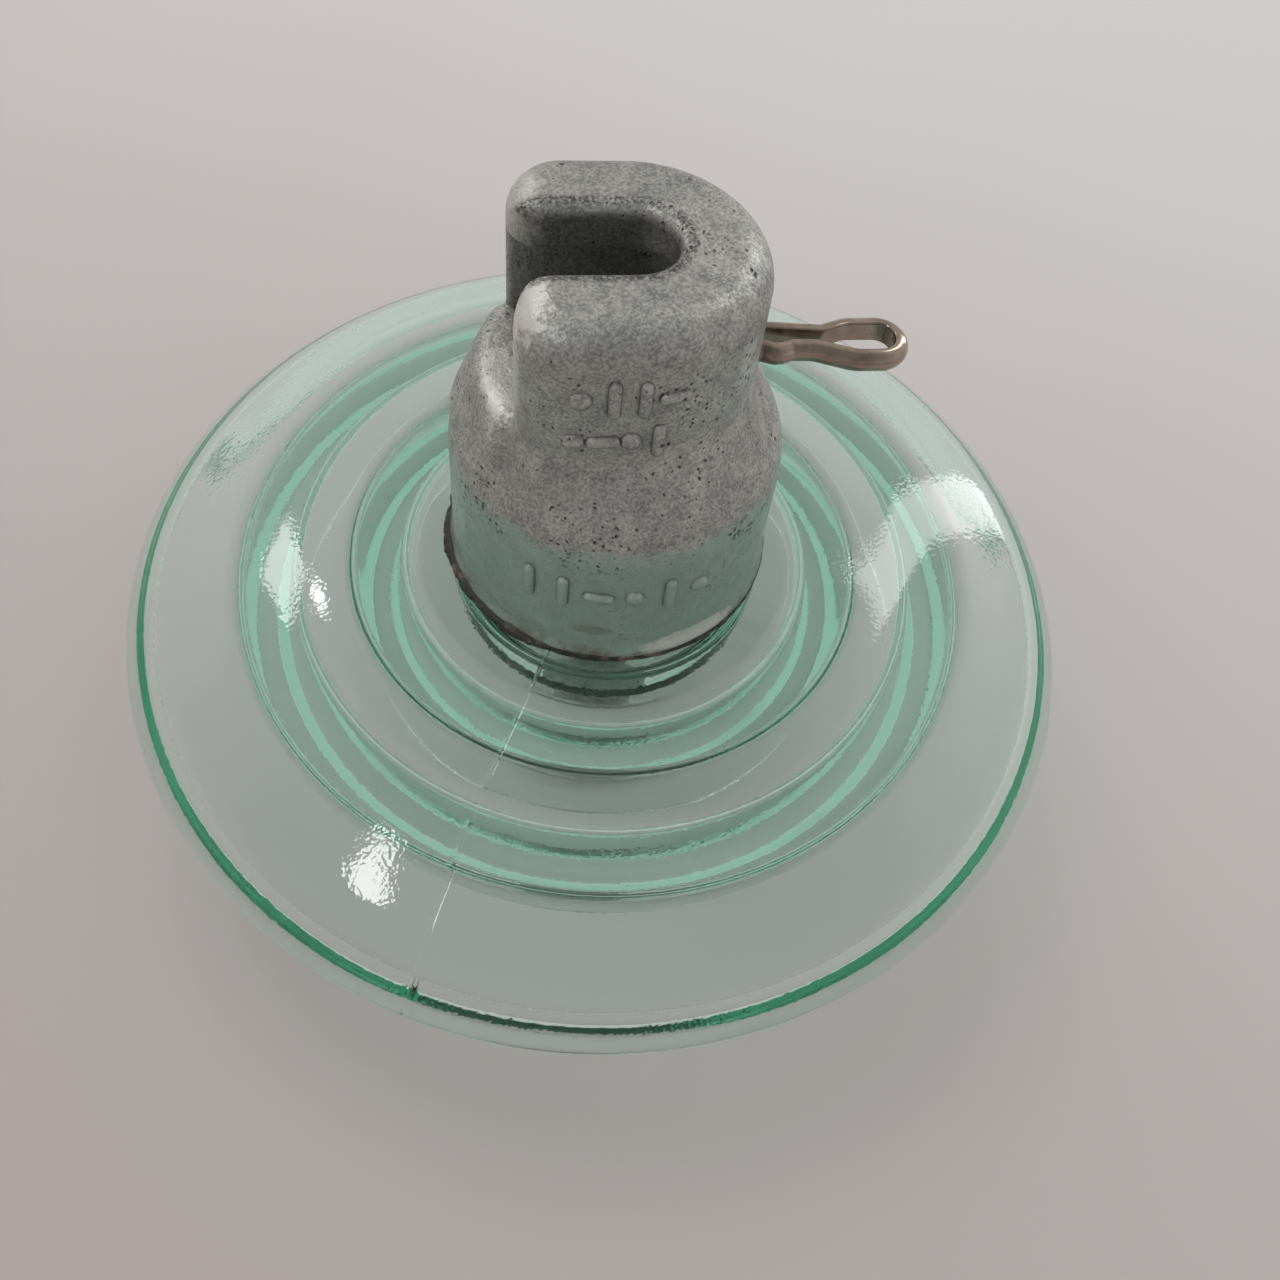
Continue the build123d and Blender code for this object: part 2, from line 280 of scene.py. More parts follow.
def patch(tree, where, centre, reach, ragged):
    """Mask of a ragged patch round a point, with its reach along X, Y and Z."""
    away = vectors(tree, "SUBTRACT", where, centre).outputs[0]
    away = vectors(tree, "DIVIDE", away, reach).outputs[0]
    far = vectors(tree, "LENGTH", away).outputs["Value"]
    far = sums(tree, "ADD", far, fray(tree, where, 4 * MM, 5.0, 4 * ragged))
    return fall(tree, far, 0.65, 1.0)


def darker(tone, level):
    """A colour at a share of its level."""
    return (*(level * part for part in tone[:3]), 1)


# Kinds of socket on the shared groups.
VALUE = "NodeSocketFloat"
VECTOR = "NodeSocketVector"


def new_group(name, inputs, outputs):
    """Empty shader group with named sockets. Returns (tree, its input node, its output node)."""
    tree = bpy.data.node_groups.new(name, "ShaderNodeTree")
    for label, default in inputs:
        socket = tree.interface.new_socket(name=label, in_out="INPUT", socket_type=VALUE)
        socket.default_value = default
    for label, kind in outputs:
        tree.interface.new_socket(name=label, in_out="OUTPUT", socket_type=kind)
    return tree, tree.nodes.new("NodeGroupInput"), tree.nodes.new("NodeGroupOutput")


def use_group(tree, group, inputs=None):
    """Places a shader group in a material."""
    return put(tree, "ShaderNodeGroup", inputs, node_tree=group)


def new_material(name):
    """Empty node material. Returns (material, its tree, its Principled node)."""
    material = bpy.data.materials.new(name)
    material.use_nodes = True
    return material, material.node_tree, material.node_tree.nodes["Principled BSDF"]


# ================================================================ effects that materials share
def mottle_group():
    """Blotches, mottling and grain of a dipped or cast surface, and the height that they leave."""
    tree, given, out = new_group(
        "Mottle",
        [("Blotch size", 20 * MM), ("Mottle size", 4 * MM), ("Grain size", 0.7 * MM)],
        [("Blotch", VALUE), ("Mottle", VALUE), ("Grain", VALUE), ("Height", VALUE)],
    )
    where = object_point(tree)
    blotch = rise(tree, speckle(tree, where, given.outputs["Blotch size"], 3.0, 0.6), 0.35, 0.65)
    mottle = rise(tree, speckle(tree, where, given.outputs["Mottle size"], 6.0, 0.65), 0.3, 0.7)
    grain = speckle(tree, where, given.outputs["Grain size"], 2.0, 0.5)
    height = sums(tree, "ADD", times(tree, mottle, 0.6), times(tree, grain, 0.4))
    results = {"Blotch": blotch, "Mottle": mottle, "Grain": grain, "Height": height}
    for label, socket in results.items():
        tree.links.new(socket, out.inputs[label])
    return tree


def pit_group():
    """Small pits that gather in clusters."""
    tree, given, out = new_group(
        "Pits",
        [("Spacing", 2.2 * MM), ("Size", 0.2), ("Cluster size", 15 * MM), ("Amount", 0.5)],
        [("Mask", VALUE)],
    )
    where = object_point(tree)
    # Each cell of a bent grid has a lot, which says whether it holds a pit and how large.
    bend = 1.1 * MM
    warp = put(tree, "ShaderNodeTexNoise", {"Vector": where, "Scale": 900.0, "Detail": 2.0})
    bent = vectors(tree, "MULTIPLY", warp.outputs["Color"], (bend,) * 3).outputs[0]
    place = vectors(tree, "ADD", where, bent).outputs[0]
    scale = sums(tree, "DIVIDE", 1.0, given.outputs["Spacing"])
    cells = put(tree, "ShaderNodeTexVoronoi", {"Vector": place, "Scale": scale})
    lot = put(tree, "ShaderNodeSeparateColor", {0: cells.outputs["Color"]}).outputs[0]
    crowd = speckle(tree, where, given.outputs["Cluster size"], 3.0, 0.5)
    chance = times(tree, rise(tree, crowd, 0.42, 0.72), given.outputs["Amount"])
    chosen = sums(tree, "LESS_THAN", lot, chance)
    reach = times(tree, given.outputs["Size"], sums(tree, "ADD", 0.4, times(tree, lot, 2.0)))
    away = sums(tree, "DIVIDE", cells.outputs["Distance"], reach)
    near = sums(tree, "SUBTRACT", 1.0, away, clamp=True)
    tree.links.new(times(tree, rise(tree, near, 0.0, 0.5), chosen), out.inputs["Mask"])
    return tree


def worn_edge_group():
    """Convex edges, found where a rounded normal leaves the true one, and that rounded normal."""
    tree, given, out = new_group(
        "Worn edges",
        [("Radius", 1.2 * MM), ("Ragged size", 3 * MM)],
        [("Mask", VALUE), ("Normal", VECTOR)],
    )
    soft = put(tree, "ShaderNodeBevel", {"Radius": given.outputs["Radius"]}, samples=8).outputs[0]
    true = put(tree, "ShaderNodeNewGeometry").outputs["Normal"]
    alike = vectors(tree, "DOT_PRODUCT", soft, true).outputs["Value"]
    turned = rise(tree, sums(tree, "SUBTRACT", 1.0, alike), 0.01, 0.16)
    ragged = speckle(tree, object_point(tree), given.outputs["Ragged size"], 4.0, 0.5)
    mask = times(tree, turned, rise(tree, ragged, 0.3, 0.6, 0.35, 1.0))
    tree.links.new(mask, out.inputs["Mask"])
    tree.links.new(soft, out.inputs["Normal"])
    return tree


EFFECTS = {}


def effect(name):
    """The shared shader group of that name, built the first time that it is asked for."""
    makers = {"mottle": mottle_group, "pits": pit_group, "worn edges": worn_edge_group}
    if name not in EFFECTS:
        EFFECTS[name] = makers[name]()
    return EFFECTS[name]


# ================================================================ meshes
def new_piece(name, verts, faces, material, stands_for=()):
    """Smooth mesh piece that rides on the insulator and stands for the CAD nodes named."""
    mesh = bpy.data.meshes.new(name)
    mesh.from_pydata(verts, [], faces)
    mesh.materials.append(material)
    mesh.shade_smooth()
    piece = bpy.data.objects.new(name, mesh)
    bpy.context.scene.collection.objects.link(piece)
    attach(piece, BODY)
    if stands_for:
        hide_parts(*stands_for)
    return piece


def weld(piece, distance):
    """Joins a piece's vertices that share a place, and turns its faces outwards."""
    welded = bmesh.new()
    welded.from_mesh(piece.data)
    bmesh.ops.remove_doubles(welded, verts=welded.verts, dist=distance)
    bmesh.ops.recalc_face_normals(welded, faces=welded.faces)
    welded.to_mesh(piece.data)
    welded.free()


def paint(node, material):
    """Gives a CAD node its finish."""
    materials = frame["nodes"][node].data.materials
    materials.clear()
    materials.append(material)


def half_section(node):
    """Outline of a turned CAD node at +X as (radius, height) rows, from its axis at the top."""
    cut = bmesh.new()
    cut.from_mesh(frame["nodes"][node].data)
    bmesh.ops.remove_doubles(cut, verts=cut.verts, dist=NOUGHT)
    everything = cut.verts[:] + cut.edges[:] + cut.faces[:]
    bmesh.ops.bisect_plane(
        cut, geom=everything, dist=NOUGHT, plane_co=(0, 0, 0), plane_no=(0, 1, 0)
    )
    kept = {v for v in cut.verts if abs(v.co.y) < NOUGHT and v.co.x > -NOUGHT}
    here = max((v for v in kept if v.co.x < NOUGHT), key=lambda v: v.co.z)
    line = [here]
    while True:
        steps = [e.other_vert(here) for e in here.link_edges]
        steps = [v for v in steps if v in kept and v not in line[-2:]]
        if not steps:
            break
        here = steps[0]
        line.append(here)
        if here.co.x < NOUGHT:
            break
    rows = np.array([(v.co.x, v.co.z) for v in line])
    cut.free()
    return rows


def finely(rows, step):
    """Rows with the long straight stretches divided."""
    out = [rows[0]]
    for before, after in zip(rows, rows[1:]):
        count = max(1, int(np.hypot(*(after - before)) / step))
        out += [before + (after - before) * k / count for k in range(1, count + 1)]
    return np.array(out)


def outward(rows):
    """Unit normals of an outline that runs clockwise round its solid."""
    along = np.gradient(rows, axis=0)
    normals = np.stack([-along[:, 1], along[:, 0]], axis=1)
    return -normals / np.linalg.norm(normals, axis=1, keepdims=True)


def grid_faces(columns, rows):
    """Quads of a grid of columns that closes on itself."""
    faces = []
    for c in range(columns):
        here, after = c * rows, (c + 1) % columns * rows
        faces += [(here + r, here + r + 1, after + r + 1, after + r) for r in range(rows - 1)]
    return faces


# ================================================================ glass shell
# Section of the mould seam: place across it and height, as shares of its width and height.
SEAM_SECTION = ((-0.5, 0), (-0.2, 0.8), (0, 1), (0.2, 0.8), (0.5, 0))


def glass_material(finish):
    """Clear glass whose green shows where it is thick, with a pressed surface."""
    material, tree, shader = new_material("Green glass")
    shader.inputs["Base Color"].default_value = (1, 1, 1, 1)
    shader.inputs["Roughness"].default_value = 0.0
    shader.inputs["IOR"].default_value = finish.ior
    shader.inputs["Transmission Weight"].default_value = 1.0
    where = object_point(tree)
    waves = bump(tree, speckle(tree, where, 30 * MM, 1.0), finish.ripple)
    grain = speckle(tree, where, 1.2 * MM, 1.0)
    frost = rise(tree, speckle(tree, where, 25 * MM, 2.0), 0.4, 0.65, 0.35, 1.0)
    skin = bump(tree, times(tree, grain, frost), finish.skin, waves)
    tree.links.new(skin, shader.inputs["Normal"])
    output = tree.nodes["Material Output"]
    volume = put(tree, "ShaderNodeVolumeAbsorption")
    volume.inputs["Color"].default_value = finish.tint
    volume.inputs["Density"].default_value = finish.depth
    tree.links.new(volume.outputs[0], output.inputs["Volume"])
    # The lamps' light passes straight through, so the glass casts a pale shadow.
    through = put(tree, "ShaderNodeBsdfTransparent", {"Color": finish.shadow})
    lamp_ray = put(tree, "ShaderNodeLightPath").outputs["Is Shadow Ray"]
    inputs = {0: lamp_ray, 1: shader.outputs[0], 2: through.outputs[0]}
    mix = put(tree, "ShaderNodeMixShader", inputs)
    tree.links.new(mix.outputs[0], output.inputs["Surface"])
    return material


def shell_columns(finish):
    """Azimuth, sideways shift and share of the seam's height for each column round the shell."""
    columns = []
    count = finish.columns // 2
    clear = 0.7  # gap on each side of a seam, in columns
    step = math.pi / (count - 1 + 2 * clear)
    for half_turn in (0, math.pi):
        seam = finish.seam_azimuth + half_turn
        columns += [(seam, finish.seam_width * aside, lift) for aside, lift in SEAM_SECTION]
        columns += [(seam + step * (k + clear), 0, 0) for k in range(count)]
    return columns


def build_shell(finish):
    """Shell turned from the CAD section, with seams outside, pressed into the cements."""
    rows = finely(half_section("glass_shell"), 2.5 * MM)
    normals = outward(rows)
    # The drip rim is the lowest row near the brim; a metre more keeps the other rows out.
    rim = int(np.argmin(rows[:, 1] + (rows[:, 0] < 0.9 * SHELL_RADIUS)))
    cap_edge = CAP_RIM + 2 * MM  # the glass above this is inside the cap
    head = rows[:, 1] > cap_edge
    cement_low, cement_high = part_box("pin_cement")
    hole = (rows[:, 0] < cement_high.x + MM) & (rows[:, 1] > cement_low.z)
    bite = 0.04 * MM  # how far the bonded glass reaches into the cements
    rows = rows + normals * bite * (head | hole)[:, None]
    rows[0, 0] = rows[-1, 0] = 0  # both ends stay on the axis
    outside = (np.arange(len(rows)) < rim) & (rows[:, 1] < cap_edge)
    narrowest = 20 * MM  # radius within which a seam grows no wider in angle
    verts = []
    for azimuth, shift, lift in shell_columns(finish):
        line = rows + normals * (finish.seam_height * lift * outside)[:, None]
        radius, height = line[:, 0], line[:, 1]
        turn = azimuth + shift / np.maximum(radius, narrowest)
        places = np.stack([radius * np.cos(turn), radius * np.sin(turn), height], axis=1)
        verts += places.tolist()
    count = len(rows)
    piece = new_piece(
        "glass_shell_pressed", verts, grid_faces(len(verts) // count, count),
        glass_material(finish), ["glass_shell"],
    )
    weld(piece, NOUGHT)


# ================================================================ zinc
# Where the cap is rubbed bare: centre, reach along X, Y and Z, and how bare.
RUBBED = (
    ((-0.0225, -0.0175, CAP_TOP - 4 * MM), (0.0055, 0.008, 0.008), 0.75),  # near horn's top
    ((-0.0245, -0.0185, CAP_TOP - 18 * MM), (0.003, 0.004, 0.022), 0.5),  # near horn's front
    ((-0.0225, 0.0195, CAP_TOP - 3 * MM), (0.006, 0.009, 0.010), 0.45),  # far horn's top
    ((-0.027, -0.005, SILL), (0.005, 0.013, 0.004), 0.6),  # sill's lip
    ((-0.028, -0.013, SILL - 8 * MM), (0.004, 0.005, 0.012), 0.6),  # sill's near corner
)
RUST_SPOT = ((-0.008, -0.039, CAP_RIM + 10 * MM), (0.007, 0.004, 0.0022))
# Painted highlight: a strip of the bright worn zinc colour along the rim, as centre and reach along
# X, Y and Z.
RIM_HIGHLIGHT = ((0.0185, -0.0364, CAP_RIM + 2.5 * MM), (0.017, 0.010, 0.0035))

# The socket's faces, where shade is painted, and its slot's lip, each as the two places between
# which an effect fades.
SOCKET_SIDE = (16.8 * MM, 17.8 * MM)
SOCKET_MOUTH = (-24.5 * MM, -19 * MM)
SOCKET_BACK = (17.8 * MM, 19 * MM)
SOCKET_TOP = (CAP_TOP - 4 * MM, CAP_TOP - 1.5 * MM)
LIP_INNER = (9.8 * MM, 11.2 * MM)
LIP_OUTER = (12 * MM, 13.8 * MM)
LIP_LEVEL = (CAP_TOP - 5 * MM, CAP_TOP - 3 * MM)

# Rows of foundry marks: height above the rim in mm, then each mark's azimuth in degrees, half
# length in mm, where 0 is a dot, and turn in degrees.
MARK_ROWS = {
    78: ((-113, 0, 0), (-101, 3.6, 90), (-89, 3.6, 90), (-77, 2.2, 0)),
    66: ((-115, 0, 0), (-104, 2.2, 0), (-93, 0, 0), (-82, 3.2, 90)),
    24: ((-124, 4, 90), (-112, 4, 90), (-100, 2.4, 0), (-88, 0, 0), (-76, 4, 90), (-65, 0, 0)),
}
DOT_RADIUS = 2.2 * MM
DASH_HALF_WIDTH = 1.3 * MM

# Section of a mark from its foot to its middle: shares of its half width and of its height.
MARK_SECTION = (
    (1.1, -0.3), (1.02, 0.1), (0.94, 0.5), (0.8, 0.85), (0.55, 1.0), (0.25, 1.05), (0.0, 1.05),
)
MARK_SIDES = 24


def pits(tree, spacing, size, cluster, amount):
    """Mask of pits, from the shared group."""
    inputs = {"Spacing": spacing, "Size": size, "Cluster size": cluster, "Amount": amount}
    return use_group(tree, effect("pits"), inputs).outputs["Mask"]


def zinc_material(name, finish, worn_width):
    """Hot-dipped zinc. Returns the material, its tree, its shader and its colour."""
    material, tree, shader = new_material(name)
    mottle = use_group(tree, effect("mottle"))
    fine_pits = pits(tree, 1.5 * MM, 0.2, 20 * MM, 1.5)
    deep_pits = pits(tree, 4.5 * MM, 0.2, 30 * MM, 0.5)
    edges = use_group(tree, effect("worn edges"), {"Radius": worn_width})
    tone = times(tree, mottle.outputs["Blotch"], 0.2)
    tone = sums(tree, "ADD", tone, times(tree, mottle.outputs["Mottle"], 0.35))
    fine = times(tree, rise(tree, mottle.outputs["Grain"], 0.3, 0.7), 0.55)
    tone = sums(tree, "ADD", tone, fine, clamp=True)
    face = blend(tree, tone, finish.dark, finish.light)
    face = blend(tree, times(tree, edges.outputs["Mask"], 0.7), face, finish.worn)
    pitted = sums(tree, "MAXIMUM", fine_pits, deep_pits)
    face = blend(tree, times(tree, pitted, 0.8), face, finish.pit_and_crease_shade)
    tree.links.new(face, shader.inputs["Base Color"])
    shader.inputs["Metallic"].default_value = 0.75
    rough = rise(tree, mottle.outputs["Mottle"], 0.0, 1.0, 0.5, 0.34)
    rough = sums(tree, "ADD", rough, times(tree, pitted, 0.3))
    tree.links.new(rough, shader.inputs["Roughness"])
    height = sums(tree, "SUBTRACT", mottle.outputs["Height"], times(tree, pitted, 0.8))
    normal = bump(tree, height, 0.22 * MM, edges.outputs["Normal"])
    tree.links.new(normal, shader.inputs["Normal"])
    return material, tree, shader, face


def rubbed_bare(tree, where, face, finish):
    """Bright zinc where the casting is handled most."""
    for centre, reach, bare in RUBBED:
        rubbed = patch(tree, where, centre, reach, 0.8)
        face = blend(tree, times(tree, rubbed, bare), face, finish.worn)
    return face


def low_band(tree, where, high, face, finish):
    """Smooth, greener zinc low on the skirt, with pits crowded under its ragged border."""
    level = sums(tree, "ADD", high, fray(tree, where, 6 * MM, 6.0, 22 * MM))
    dipped = fall(tree, level, CAP_RIM + 37 * MM, CAP_RIM + 40 * MM)
    face = blend(tree, times(tree, dipped, 0.7), face, finish.low_zinc)
    border = times(tree, dipped, rise(tree, level, CAP_RIM + 30 * MM, CAP_RIM + 38 * MM))
    crowded = times(tree, pits(tree, 1.3 * MM, 0.3, 9 * MM, 2.2), border)
    return blend(tree, crowded, face, finish.pit_and_crease_shade)


def painted_socket_shade(tree, x, y, high, face, finish):
    """Painted shade: darker zinc inside the socket, where the light hardly reaches."""
    # Mask of the socket's inside, where shade is painted.
    inside = times(
        tree,
        fall(tree, sums(tree, "ABSOLUTE", y), *SOCKET_SIDE),
        fall(tree, high, *SOCKET_TOP),
        rise(tree, x, *SOCKET_MOUTH),
        fall(tree, x, *SOCKET_BACK),
    )
    return blend(tree, inside, face, blend(tree, 1.0, face, finish.inside, "MULTIPLY"))


def lip_dust(tree, where, x, y, high, face, finish):
    """Dark specks that gather along the slot's lip."""
    from_slot = put(tree, "ShaderNodeCombineXYZ", {0: sums(tree, "MAXIMUM", x, 0.0), 1: y})
    aside = vectors(tree, "LENGTH", from_slot.outputs[0]).outputs["Value"]
    lip = times(
        tree, rise(tree, aside, *LIP_INNER), fall(tree, aside, *LIP_OUTER),
        rise(tree, high, *LIP_LEVEL),
    )
    dust = rise(tree, speckle(tree, where, 0.9 * MM, 4.0, 0.8), 0.44, 0.56)
    return blend(tree, times(tree, lip, dust, 0.8), face, finish.pit_and_crease_shade)


def rim_stains_and_highlight(tree, where, high, face, finish):
    """Brown smears and a spot of rust above the cap's rim, and a painted highlight along it in the
    worn zinc colour.
    """
    streak = rise(tree, speckle(tree, where, 9 * MM, 5.0, 0.7), 0.46, 0.6)
    smear = times(tree, streak, fall(tree, high, CAP_RIM + 1 * MM, CAP_RIM + 5.5 * MM))
    rust = times(tree, patch(tree, where, *RUST_SPOT, 0.3), 0.6)
    stained = times(tree, sums(tree, "MAXIMUM", smear, rust), 0.6)
    face = blend(tree, stained, face, finish.stain)
    # Painted highlight along the rim.
    bare = times(tree, patch(tree, where, *RIM_HIGHLIGHT, 0.3), 0.85)
    return blend(tree, bare, face, finish.worn)


def cap_material(finish):
    """The cap's zinc: painted shade inside the socket and in the creases, bright where it is
    rubbed, greener low down, with a painted highlight along the rim.
    """
    material, tree, shader, face = zinc_material("Galvanised casting", finish, 2.2 * MM)
    where = object_point(tree)
    x, y, high = put(tree, "ShaderNodeSeparateXYZ", {0: where}).outputs
    face = rubbed_bare(tree, where, face, finish)
    face = low_band(tree, where, high, face, finish)
    face = painted_socket_shade(tree, x, y, high, face, finish)
    face = lip_dust(tree, where, x, y, high, face, finish)
    face = rim_stains_and_highlight(tree, where, high, face, finish)
    # Painted shade: the pit colour darkens the creases and the feet of the marks, where little
    # light reaches.
    crease_occlusion = put(tree, "ShaderNodeAmbientOcclusion", {"Distance": 2.5 * MM}, samples=8)
    painted_crease_shade = rise(tree, crease_occlusion.outputs["AO"], 0.45, 0.9, 0.85, 0.0)
    face = blend(tree, painted_crease_shade, face, finish.pit_and_crease_shade)
    tree.links.new(face, shader.inputs["Base Color"])
    return material


def mark_outline(half, width, turn):
    """Points round a dash, or a dot where half is 0, as (aside, up) on the cap's surface."""
    points = []
    for k in range(MARK_SIDES):
        t = 2 * math.pi * (k + 0.5) / MARK_SIDES
        along = (half if math.cos(t) > 0 else -half) + width * math.cos(t)
        across = width * math.sin(t)
        points.append((
            along * math.cos(turn) - across * math.sin(turn),
            along * math.sin(turn) + across * math.cos(turn),
        ))
    return points


def build_marks(finish, material):
    """Raised dots and dashes that follow the cap's surface, with their foot a little inside it."""
    cap = frame["nodes"]["cap"].data
    surface = BVHTree.FromPolygons([v.co for v in cap.vertices], [p.vertices for p in cap.polygons])
    clear_of_cap = 0.1  # radius at which the rays start

    def touch(azimuth, height):
        way = Vector((math.cos(azimuth), math.sin(azimuth), 0))
        spot, normal, *_ = surface.ray_cast(way * clear_of_cap + Vector((0, 0, height)), -way)
        if spot is None:
            raise RuntimeError("a foundry mark misses the cap")
        return spot, normal

    verts, faces = [], []
    marks = [(CAP_RIM + level * MM, mark) for level, row in MARK_ROWS.items() for mark in row]
    for height, (degrees, half, turn) in marks:
        azimuth = math.radians(degrees)
        width = DASH_HALF_WIDTH if half else DOT_RADIUS
        middle, normal = touch(azimuth, height)
        reach = middle.xy.length
        start = len(verts)
        for across, lift in MARK_SECTION:
            for aside, up in mark_outline(half * MM, across * width, math.radians(turn)):
                spot, _ = touch(azimuth + aside / reach, height + up)
                verts.append(tuple(spot + normal * finish.mark_height * lift))
        top = start + (len(MARK_SECTION) - 1) * MARK_SIDES
        for ring in range(start, top, MARK_SIDES):
            for k in range(MARK_SIDES):
                here, after = ring + k, ring + (k + 1) % MARK_SIDES
                faces.append((here, after, after + MARK_SIDES, here + MARK_SIDES))
        faces.append(tuple(range(top, top + MARK_SIDES)))
    new_piece("cap_marks", verts, faces, material)


# ================================================================ seal
def seal_material(finish):
    """Bituminous compound: black where fresh, with a dried brown skin in patches."""
    material, tree, shader = new_material("Sealing compound")
    where = object_point(tree)
    dried = rise(tree, speckle(tree, where, 6 * MM, 5.0, 0.7), 0.52, 0.62)
    cracks = speckle(tree, where, 1.2 * MM, 4.0, 0.7)
    face = blend(tree, dried, finish.black, finish.brown)
    face = blend(tree, rise(tree, cracks, 0.5, 0.75), face, darker(finish.brown, 0.35))
    tree.links.new(face, shader.inputs["Base Color"])
    tree.links.new(rise(tree, dried, 0.0, 1.0, 0.34, 0.7), shader.inputs["Roughness"])
    tree.links.new(bump(tree, cracks, 0.4 * MM), shader.inputs["Normal"])
    return material


def build_seal(finish):
    """Hand-laid bead between the cap's rim and the glass: a lumpy half round, thin on one side."""
    columns, across = 900, 16
    foot = SEAL_FOOT - 0.1 * MM
    under = 0.5 * MM  # how far the round starts in from the cap's edge
    tuck = CAP_RADIUS - 6 * MM  # radius of the bead's hidden back
    verts = []
    for c in range(columns):
        azimuth = 2 * math.pi * c / columns
        way = Vector((math.cos(azimuth), math.sin(azimuth), 0))
        # The bead leans to its thick side, swells in slow waves and carries small lumps.
        lean = 0.5 + 0.5 * math.cos(azimuth - finish.thick_azimuth)
        swell = noise.fractal(way * 3.4, 0.6, 2.2, 3) * 0.5
        heap = max(0.0, 0.7 * lean ** 4 + swell * (0.25 + 0.7 * lean))
        proud = finish.thin + (finish.thick - finish.thin) * heap
        crest = CAP_RIM + 0.5 * MM + 0.55 * proud
        for a in range(across):
            t = math.pi * a / (across - 1)
            out = CAP_RADIUS - under + (proud + under) * math.sin(t)
            up = foot + (crest - foot) * (0.5 + 0.5 * math.cos(t))
            grain = noise.fractal((way * out + Vector((0, 0, up))) * 520, 0.7, 2.1, 4)
            lump = grain * 0.34 * min(proud, 1.6 * MM) * math.sin(t)
            verts.append(way * (out + lump) + Vector((0, 0, up + 0.4 * lump)))
        verts.append(way * tuck + Vector((0, 0, foot)))
        verts.append(way * tuck + Vector((0, 0, CAP_RIM)))
        verts.append(verts[-(across + 2)].copy())  # closes the section
    piece = new_piece(
        "edge_seal_bead", [tuple(v) for v in verts], grid_faces(columns, across + 3),
        seal_material(finish), ["cap_edge_seal"],
    )
    weld(piece, 0.1 * NOUGHT)


# ================================================================ wire and inner pieces
def wire_material(finish):
    """Drawn half-round spring steel with a bronze tint and faint draw marks."""
    material, tree, shader = new_material("Spring wire")
    where = object_point(tree)
    tarnish = rise(tree, speckle(tree, where, 6 * MM, 4.0, 0.6), 0.35, 0.7)
    face = blend(tree, tarnish, finish.steel, darker(finish.steel, 0.62))
    tree.links.new(face, shader.inputs["Base Color"])
    shader.inputs["Metallic"].default_value = 1.0
    scratches = speckle(tree, where, 0.9 * MM, 3.0)
    rough = sums(tree, "ADD", times(tree, scratches, 0.12), finish.polish - 0.04)
    tree.links.new(rough, shader.inputs["Roughness"])
    dents = bump(tree, speckle(tree, where, 11 * MM, 0.0), 1.6 * MM)
    tree.links.new(bump(tree, scratches, 0.03 * MM, dents), shader.inputs["Normal"])
    return material


def plain_material(name, dark, light, size, rough, depth):
    """Matt mineral or fibre finish: two tones over a grain of one size."""
    material, tree, shader = new_material(name)
    sizes = {"Blotch size": 6 * size, "Mottle size": size, "Grain size": size / 4}
    mottle = use_group(tree, effect("mottle"), sizes)
    both = sums(tree, "ADD", mottle.outputs["Mottle"], mottle.outputs["Grain"])
    face = blend(tree, times(tree, both, 0.5), (*dark, 1), (*light, 1))
    tree.links.new(face, shader.inputs["Base Color"])
    shader.inputs["Roughness"].default_value = rough
    tree.links.new(bump(tree, mottle.outputs["Height"], depth), shader.inputs["Normal"])
    return material


def bonding_materials():
    """Finishes of the cements, the bituminous coats and the cork cushions."""
    return (
        plain_material(
            "Alumina cement", (0.30, 0.29, 0.26), (0.46, 0.45, 0.41), 3 * MM, 0.9, 0.2 * MM
        ),
        plain_material(
            "Bituminous coat", (0.012, 0.011, 0.01), (0.03, 0.027, 0.024), 4 * MM, 0.5, 0.1 * MM
        ),
        plain_material(
            "Cork sheet", (0.28, 0.17, 0.09), (0.52, 0.36, 0.22), 2 * MM, 0.85, 0.2 * MM
        ),
    )


# ================================================================ stage
FLOOR_HALF = 4.0
TO_THE_BACK = (0.6, 0.8, 0)
DRAPE_SIDE = (-0.14, -0.66, 0.74)
LAMP_TARGET = Vector((0, 0, 80 * MM))
BOUNCES = 40

# Lamps that only reflections show: name, place, size, power in watts, lean in degrees and shape.
MIRRORED_LAMPS = (
    ("side_window", (1.70, 1.48, 1.15), (0.34, 2.4), 11.0, -11, "RECTANGLE"),
    ("front_spot", (-0.71, -0.36, 1.17), (0.15, 0.46), 2.2, 32, "ELLIPSE"),
    ("back_spot", (-0.645, 0.719, 0.991), (0.24, 0.24), 1.3, 0, "RECTANGLE"),
    ("small_back_spot", (-0.446, 0.673, 1.110), (0.08, 0.08), 0.25, 0, "ELLIPSE"),
)


def floor_material(setup):
    """Plain pale floor with painted light: its colour grows lighter towards the back."""
    material, tree, shader = new_material("Pale floor")
    where = object_point(tree)
    # Painted light: the tone rises towards the back.
    along = vectors(tree, "DOT_PRODUCT", where, TO_THE_BACK).outputs["Value"]
    tone = sums(tree, "ADD", along, times(tree, speckle(tree, where, 0.3, 2.0), 0.12))
    face = blend(tree, rise(tree, tone, -0.28, 0.66), setup.floor, setup.floor_back_painted_light)
    tree.links.new(face, shader.inputs["Base Color"])
    shader.inputs["Roughness"].default_value = 0.9
    shader.inputs["Specular IOR Level"].default_value = 0.2
    return material


def build_floor(setup):
    """Wide floor under the insulator."""
    mesh = bpy.data.meshes.new("floor")
    corners = [(x * FLOOR_HALF, y * FLOOR_HALF, 0) for x, y in ((-1, -1), (1, -1), (1, 1), (-1, 1))]
    mesh.from_pydata(corners, [], [(0, 1, 2, 3)])
    mesh.materials.append(floor_material(setup))
    floor = bpy.data.objects.new("floor", mesh)
    bpy.context.scene.collection.objects.link(floor)


